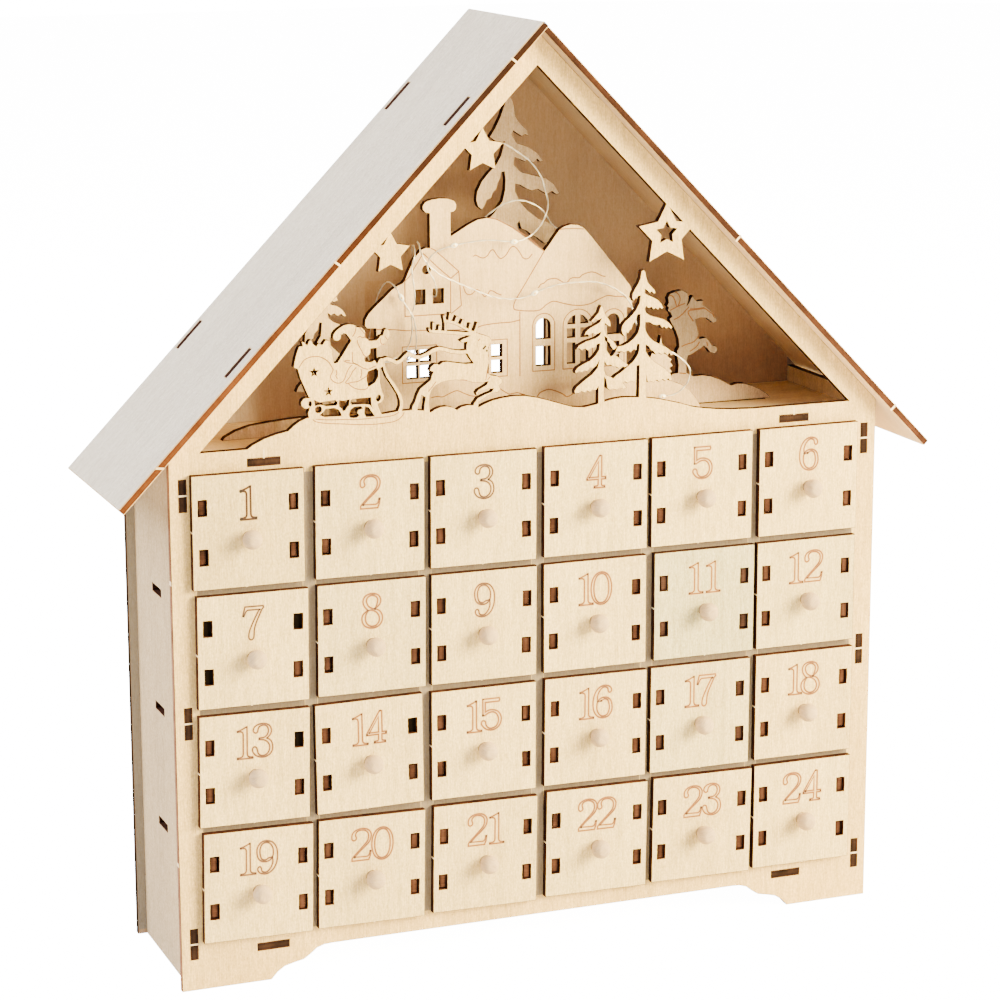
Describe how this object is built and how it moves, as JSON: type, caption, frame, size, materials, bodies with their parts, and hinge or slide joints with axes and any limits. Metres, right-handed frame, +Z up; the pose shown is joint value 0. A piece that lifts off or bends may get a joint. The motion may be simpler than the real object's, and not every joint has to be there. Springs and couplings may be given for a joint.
{
  "type": "advent calendar",
  "caption": "Wooden advent calendar shaped like a gabled house, with numbered pull-out drawers under a layered winter scene and a fine light string.",
  "frame": {"origin": "centre of the bounding box's underside, on the surface the house stands on", "axes": "+X to the right as seen from the front, +Y into the house from the drawers' fronts to the back panel, +Z up"},
  "size_m": [0.3428, 0.085, 0.3735],
  "materials": {
    "plywood": "matt, dark burnt edges",
    "drawer_plywood": "matt, dark burnt edges",
    "roof_plywood": "matt, pale",
    "box_plastic": "matt white",
    "switch_plastic": "matt black",
    "cell_steel": "satin",
    "contact_brass": "bright",
    "wire_metal": "satin",
    "bead_plastic": "clear drop"
  },
  "bodies": {
    "house": {"front_panel": "plywood", "back_panel": "plywood", "side_wall_left": "plywood", "side_wall_right": "plywood", "roof_panel_left": "roof_plywood", "roof_panel_right": "roof_plywood", "base_board": "plywood", "scene_floor": "plywood", "shelf_lower": "plywood", "shelf_middle": "plywood", "shelf_upper": "plywood", "divider_1": "plywood", "divider_2": "plywood", "divider_3": "plywood", "divider_4": "plywood", "divider_5": "plywood", "base_runners": "plywood", "cottage_plate": "plywood", "forest_plate": "plywood", "battery_box": "box_plastic", "button_cells": "cell_steel", "contact_springs": "contact_brass", "light_string": "wire_metal", "led_beads": "bead_plastic"},
    "cover": {"battery_cover": "box_plastic"},
    "switch": {"switch_slider": "switch_plastic"},
    "drawer_01": {"drawer_01": "drawer_plywood"},
    "drawer_02": {"drawer_02": "drawer_plywood"},
    "drawer_03": {"drawer_03": "drawer_plywood"},
    "drawer_04": {"drawer_04": "drawer_plywood"},
    "drawer_05": {"drawer_05": "drawer_plywood"},
    "drawer_06": {"drawer_06": "drawer_plywood"},
    "drawer_07": {"drawer_07": "drawer_plywood"},
    "drawer_08": {"drawer_08": "drawer_plywood"},
    "drawer_09": {"drawer_09": "drawer_plywood"},
    "drawer_10": {"drawer_10": "drawer_plywood"},
    "drawer_11": {"drawer_11": "drawer_plywood"},
    "drawer_12": {"drawer_12": "drawer_plywood"},
    "drawer_13": {"drawer_13": "drawer_plywood"},
    "drawer_14": {"drawer_14": "drawer_plywood"},
    "drawer_15": {"drawer_15": "drawer_plywood"},
    "drawer_16": {"drawer_16": "drawer_plywood"},
    "drawer_17": {"drawer_17": "drawer_plywood"},
    "drawer_18": {"drawer_18": "drawer_plywood"},
    "drawer_19": {"drawer_19": "drawer_plywood"},
    "drawer_20": {"drawer_20": "drawer_plywood"},
    "drawer_21": {"drawer_21": "drawer_plywood"},
    "drawer_22": {"drawer_22": "drawer_plywood"},
    "drawer_23": {"drawer_23": "drawer_plywood"},
    "drawer_24": {"drawer_24": "drawer_plywood"}
  },
  "joints": [
    {"name": "drawer_01_slide", "type": "slide", "parent": "house", "child": "drawer_01", "axis": [0, -1, 0], "range_m": [0, 0.055]},
    {"name": "drawer_02_slide", "type": "slide", "parent": "house", "child": "drawer_02", "axis": [0, -1, 0], "range_m": [0, 0.055]},
    {"name": "drawer_03_slide", "type": "slide", "parent": "house", "child": "drawer_03", "axis": [0, -1, 0], "range_m": [0, 0.055]},
    {"name": "drawer_04_slide", "type": "slide", "parent": "house", "child": "drawer_04", "axis": [0, -1, 0], "range_m": [0, 0.055]},
    {"name": "drawer_05_slide", "type": "slide", "parent": "house", "child": "drawer_05", "axis": [0, -1, 0], "range_m": [0, 0.055]},
    {"name": "drawer_06_slide", "type": "slide", "parent": "house", "child": "drawer_06", "axis": [0, -1, 0], "range_m": [0, 0.055]},
    {"name": "drawer_07_slide", "type": "slide", "parent": "house", "child": "drawer_07", "axis": [0, -1, 0], "range_m": [0, 0.055]},
    {"name": "drawer_08_slide", "type": "slide", "parent": "house", "child": "drawer_08", "axis": [0, -1, 0], "range_m": [0, 0.055]},
    {"name": "drawer_09_slide", "type": "slide", "parent": "house", "child": "drawer_09", "axis": [0, -1, 0], "range_m": [0, 0.055]},
    {"name": "drawer_10_slide", "type": "slide", "parent": "house", "child": "drawer_10", "axis": [0, -1, 0], "range_m": [0, 0.055]},
    {"name": "drawer_11_slide", "type": "slide", "parent": "house", "child": "drawer_11", "axis": [0, -1, 0], "range_m": [0, 0.055]},
    {"name": "drawer_12_slide", "type": "slide", "parent": "house", "child": "drawer_12", "axis": [0, -1, 0], "range_m": [0, 0.055]},
    {"name": "drawer_13_slide", "type": "slide", "parent": "house", "child": "drawer_13", "axis": [0, -1, 0], "range_m": [0, 0.055]},
    {"name": "drawer_14_slide", "type": "slide", "parent": "house", "child": "drawer_14", "axis": [0, -1, 0], "range_m": [0, 0.055]},
    {"name": "drawer_15_slide", "type": "slide", "parent": "house", "child": "drawer_15", "axis": [0, -1, 0], "range_m": [0, 0.055]},
    {"name": "drawer_16_slide", "type": "slide", "parent": "house", "child": "drawer_16", "axis": [0, -1, 0], "range_m": [0, 0.055]},
    {"name": "drawer_17_slide", "type": "slide", "parent": "house", "child": "drawer_17", "axis": [0, -1, 0], "range_m": [0, 0.055]},
    {"name": "drawer_18_slide", "type": "slide", "parent": "house", "child": "drawer_18", "axis": [0, -1, 0], "range_m": [0, 0.055]},
    {"name": "drawer_19_slide", "type": "slide", "parent": "house", "child": "drawer_19", "axis": [0, -1, 0], "range_m": [0, 0.055]},
    {"name": "drawer_20_slide", "type": "slide", "parent": "house", "child": "drawer_20", "axis": [0, -1, 0], "range_m": [0, 0.055]},
    {"name": "drawer_21_slide", "type": "slide", "parent": "house", "child": "drawer_21", "axis": [0, -1, 0], "range_m": [0, 0.055]},
    {"name": "drawer_22_slide", "type": "slide", "parent": "house", "child": "drawer_22", "axis": [0, -1, 0], "range_m": [0, 0.055]},
    {"name": "drawer_23_slide", "type": "slide", "parent": "house", "child": "drawer_23", "axis": [0, -1, 0], "range_m": [0, 0.055]},
    {"name": "drawer_24_slide", "type": "slide", "parent": "house", "child": "drawer_24", "axis": [0, -1, 0], "range_m": [0, 0.055]},
    {"name": "cover_slide", "type": "slide", "parent": "house", "child": "cover", "axis": [1, 0, 0], "range_m": [0, 0.04]},
    {"name": "switch_slide", "type": "slide", "parent": "house", "child": "switch", "axis": [1, 0, 0], "range_m": [-0.002, 0.004]}
  ]
}
